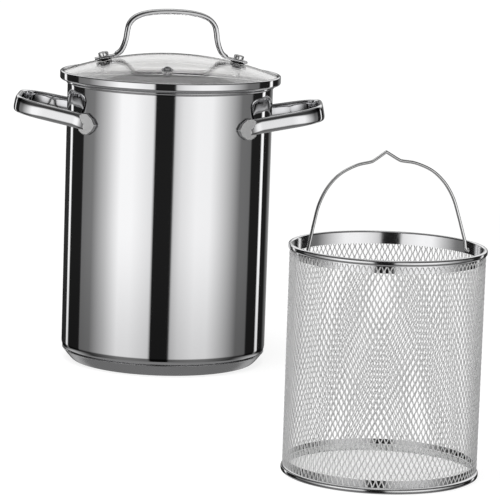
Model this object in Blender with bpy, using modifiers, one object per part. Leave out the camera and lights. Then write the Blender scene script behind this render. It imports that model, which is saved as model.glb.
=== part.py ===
"""Deep fry pot with a glass lid, and its wire mesh basket standing beside it.

Metres, +Z up. The origin is the centre of the pot's base, on the table.
"""
import math

import bmesh
import bpy
from mathutils import Matrix, Vector

# Pot
POT_INNER_RADIUS = 0.080
POT_WALL = 0.0008
POT_HEIGHT = 0.2216
BASE_THICKNESS = 0.0058
BASE_FILLET = 0.0085
BASE_FLAT_RADIUS = 0.0719
BASE_CAP_WALL = 0.0006
BASE_CAP_LIP_ANGLE = math.radians(37)
BASE_CORE_INSET = 0.0012
RIM_BEAD_HEIGHT = 0.0026
RIM_BEAD_REACH = 0.0012

# Side handles: thick straps with round edges, bent to a loop, with their ends flattened to pads
STRAP_WIDTH = 0.0122
STRAP_THICKNESS = 0.0044
HANDLE_BELOW_RIM = 0.0260
HANDLE_TILT = math.radians(10.8)
HANDLE_REACH = 0.0405
HANDLE_END_HALF_WIDTH = 0.0365
HANDLE_CORNER = 0.024
HANDLE_BEND = 0.006
PAD_ANGLE = math.radians(41.2)
PAD_LENGTH = 0.0206
PAD_HEIGHT = 0.0168
PAD_THICKNESS = 0.0027
PAD_STEP = 0.0001
PAD_OUTLINE_SHARES = ((0.0, 0.74), (0.12, 0.88), (0.30, 1.0), (0.52, 1.0), (0.78, 0.66), (1.0, 0.0))

# Lid: a glass dome in a rolled steel rim
LID_RIM_REACH = 0.0060
LID_RIM_HEIGHT = 0.0068
LID_RIM_WALL = 0.0007
LID_RIM_LIP = 0.0024
LID_SKIRT_DEPTH = 0.0085
LID_SKIRT_PLAY = 0.0010
LID_RIM_ROUND = 0.0012
GLASS_RISE = 0.0156
GLASS_THICKNESS = 0.0044
GLASS_EDGE_GAP = 0.0004
DOME_POWER = 2.0

# Lid handle: the same kind of strap, its two feet flattened and bolted through the glass
LID_HANDLE_TURN = math.radians(5.6)
LID_HANDLE_RISE = 0.0354
LID_HANDLE_SPAN = 0.1046
LID_STRAP_WIDTH = 0.0100
LID_STRAP_THICKNESS = 0.0040
LID_FOOT_THICKNESS = 0.0020
LID_FOOT_LENGTH = 0.0150
LID_FOOT_OVERHANG = 0.0072
LID_HANDLE_SHARES = ((0.780, 0.075), (0.730, 0.182), (0.690, 0.36), (0.670, 0.55), (0.645, 0.70),
                     (0.578, 0.83), (0.472, 0.915), (0.326, 0.968), (0.163, 0.992))

# Fasteners of the lid handle, from the top down
BOLT_RADIUS = 0.0020
BOLT_HEAD_RADIUS = 0.0040
BOLT_HEAD_HEIGHT = 0.0031
BOLT_HEAD_ROUND = 0.0010
BOLT_END = 0.0006
BUSH_FLANGE_RADIUS = 0.0058
BUSH_FLANGE = 0.0006
BUSH_SLEEVE_WALL = 0.0007
SEAL_WASHER_RADIUS = 0.0058
SEAL_WASHER = 0.0010
STEEL_WASHER_RADIUS = 0.0052
STEEL_WASHER = 0.0008
NUT_RADIUS = 0.0040
NUT_HEIGHT = 0.0028

# Steam vent: a small eyelet through the glass, open from top to bottom
VENT_TURN = math.radians(-91)
VENT_INSET = 0.0272
VENT_HOLE_RADIUS = 0.0014
VENT_BARREL_RADIUS = 0.0024
VENT_COLLAR_RADIUS = 0.0028
VENT_COLLAR_HEIGHT = 0.0022
VENT_FLANGE_RADIUS = 0.0047
VENT_FLANGE = 0.0007
VENT_FOOT_RADIUS = 0.0040
VENT_ROUND = 0.0005

# Basket
BASKET_X = 0.1589
BASKET_Y = -0.3741
BASKET_RADIUS = 0.0666
BASKET_HEIGHT = 0.1547
HOOP_HEIGHT = 0.0087
HOOP_WALL = 0.0006
HOOP_BEAD_HEIGHT = 0.0036
HOOP_BEAD_WIDTH = 0.0031
NET_THICKNESS = 0.0010
NET_COLUMNS = 22
NET_ROWS = 4
FLOOR_NET_PITCH = 0.0150
FLOOR_NET_HEIGHT = 0.0052
FLOOR_NET_SIDES = 24

# Bail: a wire bow that swings on its two ends in the basket's rim
WIRE_RADIUS = 0.0011
PIVOT_BELOW_RIM = 0.0060
PIVOT_PLAY = 0.00035
BAIL_TURN = math.radians(28.5)
BAIL_LEAN = math.radians(6)
BAIL_HEIGHT = 0.0684
BAIL_SIDE_PLAY = 0.0009
BAIL_HOOK_BEND = 0.00165
BAIL_SHARES = ((0.997, 0.088), (0.968, 0.215), (0.930, 0.336), (0.852, 0.515), (0.731, 0.673),
               (0.565, 0.795), (0.359, 0.875), (0.190, 0.904), (0.088, 0.930), (0.0, 1.0))

# Fits, overruns of the cutters, and how finely round shapes are stepped
CLEARANCE = 0.0003
UNDER_GLASS_GAP = 0.00045
OVERRUN = 0.004
MERGE_DISTANCE = 0.000001
NET_WELD = 0.00001
STEPS = 48
SMALL_STEPS = 16
CUTTER_STEPS = 96

POT_OUTER_RADIUS = POT_INNER_RADIUS + POT_WALL
HANDLE_HEIGHT = POT_HEIGHT - HANDLE_BELOW_RIM
POT_FLOOR = BASE_THICKNESS + POT_WALL
FILLET_CENTRE = (POT_OUTER_RADIUS - BASE_FILLET, BASE_THICKNESS + BASE_FILLET)
HOOP_INNER_RADIUS = BASKET_RADIUS - HOOP_BEAD_WIDTH
HOOP_OUTER_RADIUS = HOOP_INNER_RADIUS + HOOP_WALL
NET_RADIUS = HOOP_OUTER_RADIUS + CLEARANCE + NET_THICKNESS / 2
PIVOT_HEIGHT = BASKET_HEIGHT - PIVOT_BELOW_RIM
LID_SEAT = POT_HEIGHT + CLEARANCE
LID_RIM_RADIUS = POT_OUTER_RADIUS + LID_RIM_REACH
GLASS_RADIUS = LID_RIM_RADIUS - LID_RIM_WALL - GLASS_EDGE_GAP
GLASS_EDGE_TOP = LID_SEAT + LID_RIM_WALL + GLASS_EDGE_GAP + GLASS_THICKNESS
VENT_REACH = GLASS_RADIUS - VENT_INSET


def make_collection(name):
    collection = bpy.data.collections.new(name)
    bpy.context.scene.collection.children.link(collection)
    return collection


def make_material(name, colour, metallic, roughness):
    material = bpy.data.materials.new(name)
    material.use_nodes = True
    shader = material.node_tree.nodes["Principled BSDF"]
    shader.inputs["Base Color"].default_value = (*colour, 1)
    shader.inputs["Metallic"].default_value = metallic
    shader.inputs["Roughness"].default_value = roughness
    material.diffuse_color = (*colour, 1)
    return material


def link(name, data, material=None, parent=None, collection=None):
    obj = bpy.data.objects.new(name, data)
    (collection or parts).objects.link(obj)
    if material is not None:
        data.materials.append(material)
    obj.parent = parent
    return obj


def arc(centre, radius, start, end, steps):
    """Points (r, z) round a centre, from one angle to another, both included."""
    points = []
    for i in range(steps + 1):
        angle = start + (end - start) * i / steps
        points.append((centre[0] + radius * math.cos(angle), centre[1] + radius * math.sin(angle)))
    return points


def bend(start, corner, end, steps):
    """Points of the curve that leaves start and reaches end along lines through corner."""
    points = []
    for i in range(1, steps + 1):
        t = i / steps
        points.append(tuple((1 - t) ** 2 * a + 2 * t * (1 - t) * b + t * t * c
                            for a, b, c in zip(start, corner, end)))
    return points


def rounded(corners, radii, steps):
    """A flat path whose inner corners are replaced by curves that start a radius away."""
    path = [corners[0]]
    for before, corner, after, radius in zip(corners, corners[1:], corners[2:], radii):
        here = Vector(corner)
        towards = (Vector(before) - here).normalized() * radius
        away = (Vector(after) - here).normalized() * radius
        path.append(tuple(here + towards))
        path.extend(bend(here + towards, here, here + away, steps))
    path.append(corners[-1])
    return path


def flow(points, steps):
    """A smooth path through points, with steps between each two of them."""
    path = []
    last = len(points) - 1
    for i in range(last):
        p0, p1 = Vector(points[max(i - 1, 0)]), Vector(points[i])
        p2, p3 = Vector(points[i + 1]), Vector(points[min(i + 2, last)])
        for k in range(steps):
            t = k / steps
            path.append(tuple(0.5 * (2 * p1 + (p2 - p0) * t + (2 * p0 - 5 * p1 + 4 * p2 - p3) * t ** 2
                                     + (3 * p1 - p0 - 3 * p2 + p3) * t ** 3)))
    path.append(tuple(points[last]))
    return path


def turned(name, profile, material, parent=None, closed=False, steps=STEPS, collection=None):
    """A profile of (r, z) points turned about Z; its outer side runs from top to bottom."""
    mesh = bpy.data.meshes.new(name)
    count = len(profile)
    edges = [(i, i + 1) for i in range(count - 1)]
    if closed:
        edges.append((count - 1, 0))
    mesh.from_pydata([(r, 0, z) for r, z in profile], edges, [])
    obj = link(name, mesh, material, parent, collection)
    screw = obj.modifiers.new("turn", "SCREW")
    screw.axis = "Z"
    screw.angle = 2 * math.pi
    screw.steps = steps
    screw.render_steps = steps
    screw.use_merge_vertices = True
    screw.merge_threshold = MERGE_DISTANCE
    screw.use_smooth_shade = True
    return obj


def ring_profile(inner, outer, bottom, top):
    return [(outer, top), (outer, bottom), (inner, bottom), (inner, top)]


def strap_curve(name, path, width, thickness, material):
    """A flat strap with round edges along a path in its own XY plane."""
    curve = bpy.data.curves.new(name, "CURVE")
    curve.dimensions = "3D"
    curve.twist_mode = "Z_UP"
    spline = curve.splines.new("POLY")
    spline.points.add(len(path) - 1)
    for point, place in zip(spline.points, path):
        point.co = (place[0], place[1], 0, 1)
    curve.fill_mode = "FULL"
    curve.bevel_depth = thickness / 2
    curve.bevel_resolution = 1
    curve.extrude = (width - thickness) / 2
    curve.use_fill_caps = True
    return link(name, curve, material)


def wire_curve(name, path, radius, material, parent=None, resolution=2):
    """A round wire along a path in its own XY plane."""
    curve = bpy.data.curves.new(name, "CURVE")
    curve.dimensions = "3D"
    spline = curve.splines.new("POLY")
    spline.points.add(len(path) - 1)
    for point, place in zip(spline.points, path):
        point.co = (place[0], place[1], 0, 1)
    curve.bevel_depth = radius
    curve.bevel_resolution = resolution
    curve.use_fill_caps = True
    return link(name, curve, material, parent)


def plate_curve(name, outline, thickness, material):
    """A flat plate of an outline in its own XY plane."""
    curve = bpy.data.curves.new(name, "CURVE")
    curve.dimensions = "2D"
    curve.fill_mode = "BOTH"
    curve.extrude = thickness / 2
    spline = curve.splines.new("POLY")
    spline.points.add(len(outline) - 1)
    for point, place in zip(spline.points, outline):
        point.co = (place[0], place[1], 0, 1)
    spline.use_cyclic_u = True
    return link(name, curve, material)


def as_mesh(curve_object):
    """The curve object as a closed mesh object in the same place."""
    bpy.context.view_layer.update()
    graph = bpy.context.evaluated_depsgraph_get()
    mesh = bpy.data.meshes.new_from_object(curve_object.evaluated_get(graph))
    welded = bmesh.new()
    welded.from_mesh(mesh)
    bmesh.ops.remove_doubles(welded, verts=welded.verts[:], dist=MERGE_DISTANCE)
    bmesh.ops.recalc_face_normals(welded, faces=welded.faces[:])
    welded.to_mesh(mesh)
    welded.free()
    name = curve_object.name
    place = curve_object.matrix_world.copy()
    curve_object.name = name + "_curve"
    obj = bpy.data.objects.new(name, mesh)
    curve_object.users_collection[0].objects.link(obj)
    obj.parent = curve_object.parent
    obj.matrix_world = place
    bpy.data.objects.remove(curve_object)
    return obj


def combine(obj, other, operation):
    modifier = obj.modifiers.new(operation.lower(), "BOOLEAN")
    modifier.operation = operation
    modifier.solver = "EXACT"
    modifier.object = other
    other.hide_render = True
    other.display_type = "WIRE"
    return modifier


def rod_cutter(name, radius, low, high, place, steps=SMALL_STEPS):
    """A cylinder along its own Z from low to high, for cutting holes."""
    profile = [(0, high), (radius, high), (radius, low), (0, low)]
    cutter = turned(name, profile, None, steps=steps, collection=cutters)
    cutter.matrix_world = place
    return cutter


def dome_height(radius):
    """Height of the glass's upper face at a distance from the lid's axis."""
    return GLASS_EDGE_TOP + GLASS_RISE * (1 - (radius / GLASS_RADIUS) ** DOME_POWER)


def dome_slope(radius):
    share = radius / GLASS_RADIUS
    return math.atan(DOME_POWER * GLASS_RISE / GLASS_RADIUS * share ** (DOME_POWER - 1))


def glass_place(turn, radius):
    """A place on the glass, a distance out along a turned line; its Z leaves the glass squarely."""
    tilt = Matrix.Rotation(dome_slope(radius), 4, "Y")
    return Matrix.Rotation(turn, 4, "Z") @ Matrix.Translation((radius, 0, dome_height(radius))) @ tilt


def foot_place(side):
    """Where a foot of the lid handle stands on the glass."""
    turn = LID_HANDLE_TURN if side > 0 else LID_HANDLE_TURN + math.pi
    return glass_place(turn, LID_HANDLE_SPAN / 2)


def make_pot_body():
    centre_r, centre_z = FILLET_CENTRE
    inner_fillet = BASE_FILLET - POT_WALL
    bead_bottom = POT_HEIGHT - RIM_BEAD_HEIGHT
    bead_half = RIM_BEAD_HEIGHT / 2
    bead_r = POT_OUTER_RADIUS + RIM_BEAD_REACH - bead_half
    profile = [(0, POT_FLOOR)]
    profile += arc(FILLET_CENTRE, inner_fillet, -math.pi / 2, 0, 4)
    profile += [(POT_INNER_RADIUS, POT_HEIGHT - bead_half)]
    profile += [(POT_INNER_RADIUS + POT_WALL / 2, POT_HEIGHT)]
    profile += arc((bead_r, bead_bottom + bead_half), bead_half, math.pi / 2, -math.pi / 2, 4)
    profile += [(POT_OUTER_RADIUS, bead_bottom - POT_WALL)]
    profile += arc((centre_r, centre_z), BASE_FILLET, 0, -math.pi / 2, 5)
    profile += [(0, BASE_THICKNESS)]
    return turned("pot_body", profile, steel)


def make_base_cap():
    """The steel shell that wraps the base's core; its lip shows as a line round the pot."""
    inner = BASE_FILLET + CLEARANCE
    outer = inner + BASE_CAP_WALL
    angle = BASE_CAP_LIP_ANGLE

    def side(radius, bottom, flat_radius, steps):
        start = (FILLET_CENTRE[0] + radius * math.cos(angle), FILLET_CENTRE[1] - radius * math.sin(angle))
        reach = (start[1] - bottom) / math.cos(angle)
        corner = (start[0] - reach * math.sin(angle), bottom)
        return [start] + bend(start, corner, (flat_radius, bottom), steps)

    profile = [(0, BASE_CAP_WALL)]
    profile += reversed(side(inner, BASE_CAP_WALL, BASE_FLAT_RADIUS - BASE_CAP_WALL / 2, 4))
    profile += side(outer, 0, BASE_FLAT_RADIUS, 4)
    profile += [(0, 0)]
    return turned("base_cap", profile, dark_steel)


def make_base_core():
    low = BASE_CAP_WALL + CLEARANCE
    high = BASE_THICKNESS - CLEARANCE
    radius = BASE_FLAT_RADIUS - BASE_CORE_INSET
    profile = [(0, high), (radius, high), (radius, low), (0, low)]
    return turned("base_core", profile, aluminium)


def make_side_handle(name, turn):
    """A strap loop tilted up and outwards, its two ends flattened against the wall."""
    lean = math.cos(HANDLE_TILT)
    inner_face = math.sqrt(POT_OUTER_RADIUS ** 2 - (PAD_LENGTH / 2) ** 2)
    pad_out = Vector((math.cos(PAD_ANGLE), math.sin(PAD_ANGLE)))
    along_pad = Vector((-math.sin(PAD_ANGLE), math.cos(PAD_ANGLE)))
    # The strap's outer face runs into the pad's, a hair below it.
    seam = pad_out * (inner_face + PAD_THICKNESS - PAD_STEP - STRAP_THICKNESS / 2) - along_pad * PAD_LENGTH / 2
    tail = seam + along_pad * PAD_LENGTH / 3
    seam.x /= lean
    tail.x /= lean
    end_x = (POT_OUTER_RADIUS + HANDLE_REACH - STRAP_THICKNESS / 2) / lean
    end_y = HANDLE_END_HALF_WIDTH
    corners = [tail, seam, (end_x, end_y), (end_x, -end_y), (seam[0], -seam[1]), (tail[0], -tail[1])]
    radii = (HANDLE_BEND, HANDLE_CORNER, HANDLE_CORNER, HANDLE_BEND)
    path = rounded([tuple(c) for c in corners], radii, 5)
    strap = strap_curve(name, path, STRAP_WIDTH, STRAP_THICKNESS, steel)
    strap.matrix_world = (Matrix.Rotation(turn, 4, "Z")
                          @ Matrix.Translation((0, 0, HANDLE_HEIGHT - POT_OUTER_RADIUS * math.tan(HANDLE_TILT)))
                          @ Matrix.Rotation(-HANDLE_TILT, 4, "Y"))
    handle = as_mesh(strap)

    outline = [(x * PAD_LENGTH, y * PAD_HEIGHT / 2) for x, y in PAD_OUTLINE_SHARES]
    outline += [(x, -y) for x, y in reversed(outline[:-1])]
    pad_height = HANDLE_HEIGHT - (POT_OUTER_RADIUS - inner_face * math.cos(PAD_ANGLE)) * math.tan(HANDLE_TILT)
    for side in (1, -1):
        pad = plate_curve(f"{name}_pad_{side}", outline, PAD_THICKNESS, None)
        # The plate's length runs round the pot, away from the strap, and its height stands up.
        angle = side * PAD_ANGLE
        along = Vector((-math.sin(angle), math.cos(angle), 0)) * side
        out = Vector((math.cos(angle), math.sin(angle), 0))
        up = Vector((0, 0, 1))
        place = Matrix((along, up, along.cross(up))).transposed().to_4x4()
        middle = out * (inner_face + PAD_THICKNESS / 2) - along * PAD_LENGTH / 2
        place.translation = middle + up * pad_height
        pad.matrix_world = Matrix.Rotation(turn, 4, "Z") @ place
        pad = as_mesh(pad)
        parts.objects.unlink(pad)
        cutters.objects.link(pad)
        combine(handle, pad, "UNION")
    wall = rod_cutter(name + "_wall", POT_OUTER_RADIUS + CLEARANCE, HANDLE_HEIGHT - PAD_HEIGHT,
                      HANDLE_HEIGHT + PAD_HEIGHT, Matrix.Identity(4), CUTTER_STEPS)
    combine(handle, wall, "DIFFERENCE")
    return handle


def make_lid_glass():
    shares = (0, 0.35, 0.6, 0.78, 0.9, 1)
    upper = [(s * GLASS_RADIUS, dome_height(s * GLASS_RADIUS)) for s in shares]
    lower = [(r, z - GLASS_THICKNESS) for r, z in upper]
    profile = upper + list(reversed(lower))
    glass = turned("lid_glass", profile, clear_glass, lid)
    for side, word in ((-1, "left"), (1, "right")):
        hole = rod_cutter("glass_hole_" + word, sleeve_radius() + CLEARANCE,
                          -GLASS_THICKNESS - OVERRUN, OVERRUN, foot_place(side))
        combine(glass, hole, "DIFFERENCE")
    hole = rod_cutter("vent_hole", VENT_BARREL_RADIUS + CLEARANCE, -GLASS_THICKNESS - OVERRUN, OVERRUN,
                      glass_place(VENT_TURN, VENT_REACH))
    combine(glass, hole, "DIFFERENCE")
    return glass


def make_lid_rim():
    """A strip rolled round the glass's edge, with a skirt that drops into the pot."""
    outer, wall, bottom = LID_RIM_RADIUS, LID_RIM_WALL, LID_SEAT
    top = bottom + LID_RIM_HEIGHT
    turn_r = LID_RIM_ROUND
    skirt_outer = POT_INNER_RADIUS - LID_SKIRT_PLAY
    skirt_inner = skirt_outer - wall
    skirt_bottom = bottom - LID_SKIRT_DEPTH
    profile = [(outer - LID_RIM_LIP, top - wall), (outer - LID_RIM_LIP, top)]
    profile += arc((outer - turn_r, top - turn_r), turn_r, math.pi / 2, 0, 2)
    profile += arc((outer - turn_r, bottom + turn_r), turn_r, 0, -math.pi / 2, 2)
    profile += [(skirt_outer, bottom), (skirt_outer, skirt_bottom), (skirt_inner, skirt_bottom)]
    profile += [(skirt_inner, bottom + wall), (outer - turn_r, bottom + wall)]
    profile += [(outer - wall, bottom + turn_r), (outer - wall, top - wall)]
    return turned("lid_rim", profile, steel, lid, closed=True)


def foot_stack():
    """Heights above the glass at a foot: top of the bush's flange, strap's middle, strap's top."""
    flange_top = CLEARANCE + BUSH_FLANGE
    strap_middle = flange_top + CLEARANCE + LID_FOOT_THICKNESS / 2
    return flange_top, strap_middle, strap_middle + LID_FOOT_THICKNESS / 2


def sleeve_radius():
    return BOLT_RADIUS + CLEARANCE + BUSH_SLEEVE_WALL


def glass_depth(radius):
    """Thickness of the glass along an axis that stands squarely on it."""
    return GLASS_THICKNESS * math.cos(dome_slope(radius))


def flatten_feet(handle, toe, heel):
    """Press the strap thinner between its heel and its toe, at both ends."""
    along = (toe - heel).normalized()
    for vert in handle.data.vertices:
        side = math.copysign(1, vert.co.x)
        here = Vector((vert.co.x * side, vert.co.y))
        beyond = (here - heel).dot(along)
        if beyond > -LID_STRAP_THICKNESS / 2:
            line = heel + along * beyond
            flat = line + (here - line) * LID_FOOT_THICKNESS / LID_STRAP_THICKNESS
            vert.co.xy = (flat.x * side, flat.y)


def make_lid_handle():
    half = LID_HANDLE_SPAN / 2
    slope = dome_slope(half)
    stand = foot_stack()[1]
    foot = Vector((half + stand * math.sin(slope), dome_height(half) + stand * math.cos(slope)))
    along = Vector((math.cos(slope), -math.sin(slope)))
    toe = foot + along * LID_FOOT_OVERHANG
    heel = foot - along * (LID_FOOT_LENGTH - LID_FOOT_OVERHANG)
    rise = LID_HANDLE_RISE
    rising = [(x * half, heel[1] + y * rise) for x, y in LID_HANDLE_SHARES]
    crown = (0, heel[1] + rise)
    half_path = [tuple(toe)] + flow([tuple(heel)] + rising + [crown], 2)
    path = half_path + [(-x, z) for x, z in reversed(half_path[:-1])]
    strap = strap_curve("lid_handle", path, LID_STRAP_WIDTH, LID_STRAP_THICKNESS, steel)
    strap.matrix_world = Matrix.Rotation(LID_HANDLE_TURN, 4, "Z") @ Matrix.Rotation(math.pi / 2, 4, "X")
    handle = as_mesh(strap)
    flatten_feet(handle, toe, heel)
    for side, word in ((-1, "left"), (1, "right")):
        hole = rod_cutter("strap_hole_" + word, BOLT_RADIUS + CLEARANCE, -OVERRUN, OVERRUN + stand,
                          foot_place(side))
        combine(handle, hole, "DIFFERENCE")
    handle.parent = lid
    return handle


def make_fasteners(side, word):
    """The bolt, bush, washers and nut that hold one foot of the lid handle."""
    place = foot_place(side)
    flange_top, _, strap_top = foot_stack()
    head_bottom = strap_top + CLEARANCE
    head_top = head_bottom + BOLT_HEAD_HEIGHT
    depth = glass_depth(LID_HANDLE_SPAN / 2)
    seal_top = -depth - UNDER_GLASS_GAP
    seal_bottom = seal_top - SEAL_WASHER
    washer_top = seal_bottom - CLEARANCE
    washer_bottom = washer_top - STEEL_WASHER
    nut_top = washer_bottom - CLEARANCE
    nut_bottom = nut_top - NUT_HEIGHT
    hole = BOLT_RADIUS + CLEARANCE

    profile = [(0, head_top)]
    profile += arc((BOLT_HEAD_RADIUS - BOLT_HEAD_ROUND, head_top - BOLT_HEAD_ROUND), BOLT_HEAD_ROUND,
                   math.pi / 2, 0, 3)
    profile += [(BOLT_HEAD_RADIUS, head_bottom), (BOLT_RADIUS, head_bottom)]
    profile += [(BOLT_RADIUS, nut_bottom), (BOLT_RADIUS - BOLT_END, nut_bottom - BOLT_END)]
    profile += [(0, nut_bottom - BOLT_END)]
    bolt = turned("lid_bolt_" + word, profile, steel, lid, steps=SMALL_STEPS)

    sleeve = sleeve_radius()
    profile = [(BUSH_FLANGE_RADIUS, flange_top), (BUSH_FLANGE_RADIUS, CLEARANCE), (sleeve, CLEARANCE),
               (sleeve, -depth), (hole, -depth), (hole, flange_top)]
    bush = turned("seal_bush_" + word, profile, silicone, lid, closed=True, steps=SMALL_STEPS)

    profile = ring_profile(hole, SEAL_WASHER_RADIUS, seal_bottom, seal_top)
    seal = turned("seal_washer_" + word, profile, silicone, lid, closed=True, steps=SMALL_STEPS)

    profile = ring_profile(hole, STEEL_WASHER_RADIUS, washer_bottom, washer_top)
    washer = turned("steel_washer_" + word, profile, steel, lid, closed=True, steps=SMALL_STEPS)

    profile = ring_profile(hole, NUT_RADIUS, nut_bottom, nut_top)
    nut = turned("lid_nut_" + word, profile, steel, lid, closed=True, steps=6)
    for piece in (bolt, bush, seal, washer, nut):
        piece.matrix_local = place


def make_steam_vent():
    """The eyelet: a flange and a low collar on the glass, a barrel through it, a rolled foot below."""
    under = -glass_depth(VENT_REACH) - UNDER_GLASS_GAP
    foot = under - VENT_FLANGE
    flange_top = CLEARANCE + VENT_FLANGE
    collar_top = CLEARANCE + VENT_COLLAR_HEIGHT
    profile = [(VENT_HOLE_RADIUS, collar_top), (VENT_COLLAR_RADIUS - VENT_ROUND, collar_top)]
    profile += [(VENT_COLLAR_RADIUS, collar_top - VENT_ROUND), (VENT_COLLAR_RADIUS, flange_top)]
    profile += [(VENT_FLANGE_RADIUS - VENT_ROUND, flange_top), (VENT_FLANGE_RADIUS, CLEARANCE)]
    profile += [(VENT_BARREL_RADIUS, CLEARANCE), (VENT_BARREL_RADIUS, under), (VENT_FOOT_RADIUS, under)]
    profile += [(VENT_FOOT_RADIUS, foot), (VENT_HOLE_RADIUS, foot)]
    vent = turned("steam_vent", profile, steel, lid, closed=True, steps=SMALL_STEPS)
    vent.matrix_local = glass_place(VENT_TURN, VENT_REACH)


def hoop_profile(flip):
    """Section of a basket hoop: a strip whose outer edge is rolled to a bead."""
    half = HOOP_BEAD_HEIGHT / 2
    centre_r = BASKET_RADIUS - half
    centre_z = BASKET_HEIGHT - half
    bead = arc((centre_r, centre_z), half, math.pi / 2, -math.pi / 2, 4)
    profile = [(HOOP_INNER_RADIUS, centre_z), (HOOP_INNER_RADIUS + half / 2, BASKET_HEIGHT)] + bead
    profile += [(HOOP_OUTER_RADIUS, BASKET_HEIGHT - HOOP_BEAD_HEIGHT)]
    profile += [(HOOP_OUTER_RADIUS, BASKET_HEIGHT - HOOP_HEIGHT), (HOOP_INNER_RADIUS, BASKET_HEIGHT - HOOP_HEIGHT)]
    if flip:
        profile = [(r, BASKET_HEIGHT - z) for r, z in reversed(profile)]
    return profile


def make_basket_hoops():
    rim = turned("basket_rim", hoop_profile(False), steel, basket, closed=True)
    turned("basket_foot_ring", hoop_profile(True), steel, basket, closed=True)
    for side, word in ((-1, "left"), (1, "right")):
        place = (Matrix.Translation((BASKET_X, BASKET_Y, PIVOT_HEIGHT)) @ Matrix.Rotation(BAIL_TURN, 4, "Z")
                 @ Matrix.Rotation(side * math.pi / 2, 4, "Y"))
        hole = rod_cutter("pivot_hole_" + word, WIRE_RADIUS + PIVOT_PLAY, HOOP_INNER_RADIUS - OVERRUN,
                          HOOP_OUTER_RADIUS + OVERRUN, place)
        combine(rim, hole, "DIFFERENCE")


def open_net(name, sheet, parent, location):
    """A sheet of flat cells turned into bars along all its edges."""
    mesh = bpy.data.meshes.new(name)
    sheet.to_mesh(mesh)
    sheet.free()
    net = link(name, mesh, steel, parent)
    net.location = location
    bars = net.modifiers.new("bars", "WIREFRAME")
    bars.thickness = NET_THICKNESS
    bars.offset = 0
    bars.use_replace = True
    bars.use_boundary = True
    bars.use_even_offset = True
    weld = net.modifiers.new("weld", "WELD")
    weld.merge_threshold = NET_WELD
    return net


def make_basket_wall():
    """The wall's net of upright diamonds, as a sleeve round both hoops."""
    low = HOOP_BEAD_HEIGHT + CLEARANCE + NET_THICKNESS
    high = BASKET_HEIGHT - low
    sheet = bmesh.new()
    bmesh.ops.create_cone(sheet, cap_ends=False, segments=NET_COLUMNS, radius1=NET_RADIUS,
                          radius2=NET_RADIUS, depth=high - low)
    uprights = [e for e in sheet.edges if abs(e.verts[0].co.z - e.verts[1].co.z) > CLEARANCE]
    bmesh.ops.subdivide_edges(sheet, edges=uprights, cuts=NET_ROWS - 1, use_grid_fill=True)
    grid_edges = sheet.edges[:]
    centres = bmesh.ops.poke(sheet, faces=sheet.faces[:])["verts"]
    for vert in centres:
        vert.co.xy = vert.co.xy.normalized() * NET_RADIUS
    inner_edges = [e for e in grid_edges if not e.is_boundary]
    bmesh.ops.dissolve_edges(sheet, edges=inner_edges, use_verts=False)
    # The hoops of the net's two ends get a corner between each two columns, to stay round.
    hoops = [e for e in sheet.edges if e.is_boundary]
    split = bmesh.ops.subdivide_edges(sheet, edges=hoops, cuts=1)["geom_inner"]
    for vert in (v for v in split if isinstance(v, bmesh.types.BMVert)):
        vert.co.xy = vert.co.xy.normalized() * NET_RADIUS
    return open_net("basket_wall", sheet, basket, (0, 0, (low + high) / 2))


def make_basket_floor():
    """The floor's net, cut round to fit inside the foot ring."""
    radius = HOOP_INNER_RADIUS - CLEARANCE - NET_THICKNESS / 2
    count = 2 * math.ceil(radius / FLOOR_NET_PITCH) + 1
    sheet = bmesh.new()
    bmesh.ops.create_grid(sheet, x_segments=count, y_segments=count, size=count * FLOOR_NET_PITCH / 2)
    bmesh.ops.rotate(sheet, verts=sheet.verts[:], matrix=Matrix.Rotation(math.pi / 4, 3, "Z"))
    for i in range(FLOOR_NET_SIDES):
        angle = 2 * math.pi * (i + 0.5) / FLOOR_NET_SIDES
        out = Vector((math.cos(angle), math.sin(angle), 0))
        apothem = radius * math.cos(math.pi / FLOOR_NET_SIDES)
        bmesh.ops.bisect_plane(sheet, geom=sheet.verts[:] + sheet.edges[:] + sheet.faces[:],
                               plane_co=out * apothem, plane_no=out, clear_outer=True)
    return open_net("basket_floor", sheet, basket, (0, 0, FLOOR_NET_HEIGHT))


def make_bail():
    half_span = HOOP_INNER_RADIUS - WIRE_RADIUS - BAIL_SIDE_PLAY
    end = HOOP_OUTER_RADIUS
    rising = [(x * half_span, y * BAIL_HEIGHT) for x, y in BAIL_SHARES]
    hook = rounded([(end, 0), (half_span, 0), rising[0]], (BAIL_HOOK_BEND,), 3)
    half_path = hook[:-1] + flow(rising, 2)
    path = half_path + [(-x, y) for x, y in reversed(half_path[:-1])]
    bail = wire_curve("basket_bail", path, WIRE_RADIUS, steel, basket)
    bail.location = (0, 0, PIVOT_HEIGHT)
    bail.rotation_euler = (math.pi / 2 - BAIL_LEAN, 0, BAIL_TURN)
    return bail


for old in list(bpy.data.objects):
    bpy.data.objects.remove(old)

parts = make_collection("deep_fry_pot")
cutters = make_collection("cutters")

steel = make_material("polished_steel", (0.78, 0.78, 0.79), 1, 0.08)
dark_steel = make_material("base_steel", (0.55, 0.55, 0.56), 1, 0.25)
aluminium = make_material("core_aluminium", (0.72, 0.72, 0.73), 1, 0.45)
clear_glass = make_material("clear_glass", (0.86, 0.89, 0.90), 0, 0.02)
silicone = make_material("black_silicone", (0.05, 0.05, 0.05), 0, 0.6)

# The lid and the basket each lift off straight up, as groups under an empty
lid = link("lid_lift", None)
basket = link("basket_lift", None)
basket.location = (BASKET_X, BASKET_Y, 0)
bpy.context.view_layer.update()

make_pot_body()
make_base_core()
make_base_cap()
make_side_handle("handle_right", 0)
make_side_handle("handle_left", math.pi)
make_lid_glass()
make_lid_rim()
make_lid_handle()
make_fasteners(-1, "left")
make_fasteners(1, "right")
make_steam_vent()
make_basket_hoops()
make_basket_wall()
make_basket_floor()
make_bail()
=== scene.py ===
import math

import bpy
from mathutils import Matrix, Vector


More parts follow.
